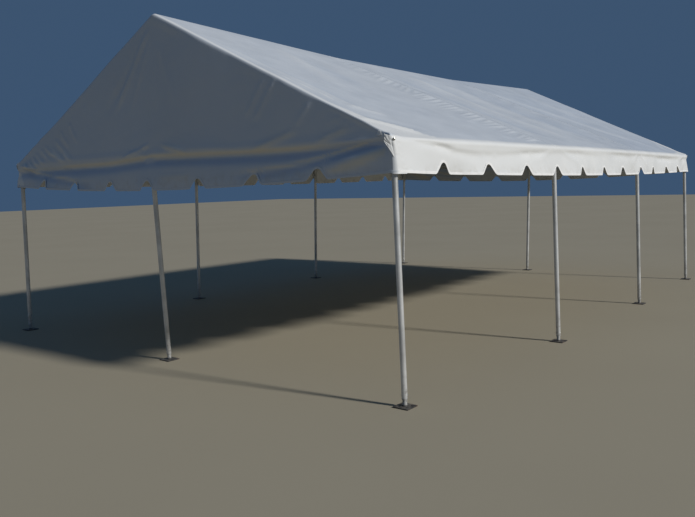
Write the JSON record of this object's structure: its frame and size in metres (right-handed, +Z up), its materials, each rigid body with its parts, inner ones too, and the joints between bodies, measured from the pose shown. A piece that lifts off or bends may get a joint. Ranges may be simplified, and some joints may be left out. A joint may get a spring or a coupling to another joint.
{
  "type": "gable-end frame tent",
  "caption": "Marquee tent: white vinyl gable roof with a scalloped valance, carried by a slip-fit pipe frame on legs with flat base plates. Shelters people and tables outdoors.",
  "frame": {"origin": "on the ground, under the middle of the tent", "axes": "+X along the ridge towards the rear gable, +Y towards the left side, +Z up"},
  "size_m": [9.454, 6.5172, 3.7114],
  "materials": {
    "vinyl": "white coated vinyl, satin, a little grey with use",
    "pipe": "mill finish tube, scuffed",
    "fitting": "galvanised steel, dull",
    "foot": "dark painted steel, worn and dusty"
  },
  "bodies": {
    "root": {"leg_right_1": "pipe", "foot_right_1": "foot", "rafter_right_1": "pipe", "corner_fitting_right_1": "fitting", "leg_right_2": "pipe", "foot_right_2": "foot", "rafter_right_2": "pipe", "eave_tee_right_2": "fitting", "leg_right_3": "pipe", "foot_right_3": "foot", "rafter_right_3": "pipe", "eave_tee_right_3": "fitting", "leg_right_4": "pipe", "foot_right_4": "foot", "rafter_right_4": "pipe", "corner_fitting_right_4": "fitting", "eave_rail_right_1": "pipe", "eave_rail_right_2": "pipe", "eave_rail_right_3": "pipe", "canopy_roof_right": "vinyl", "canopy_valance_right": "vinyl", "leg_left_1": "pipe", "foot_left_1": "foot", "rafter_left_1": "pipe", "corner_fitting_left_1": "fitting", "leg_left_2": "pipe", "foot_left_2": "foot", "rafter_left_2": "pipe", "eave_tee_left_2": "fitting", "leg_left_3": "pipe", "foot_left_3": "foot", "rafter_left_3": "pipe", "eave_tee_left_3": "fitting", "leg_left_4": "pipe", "foot_left_4": "foot", "rafter_left_4": "pipe", "corner_fitting_left_4": "fitting", "eave_rail_left_1": "pipe", "eave_rail_left_2": "pipe", "eave_rail_left_3": "pipe", "canopy_roof_left": "vinyl", "canopy_valance_left": "vinyl", "leg_front_middle": "pipe", "foot_front_middle": "foot", "king_post_front": "fitting", "gable_rail_front_right": "pipe", "gable_rail_front_left": "pipe", "canopy_gable_front": "vinyl", "leg_rear_middle": "pipe", "foot_rear_middle": "foot", "king_post_rear": "fitting", "gable_rail_rear_right": "pipe", "gable_rail_rear_left": "pipe", "canopy_gable_rear": "vinyl", "ridge_pipe_1": "pipe", "ridge_pipe_2": "pipe", "ridge_pipe_3": "pipe", "ridge_fitting_2": "fitting", "ridge_fitting_3": "fitting"}
  },
  "joints": []
}
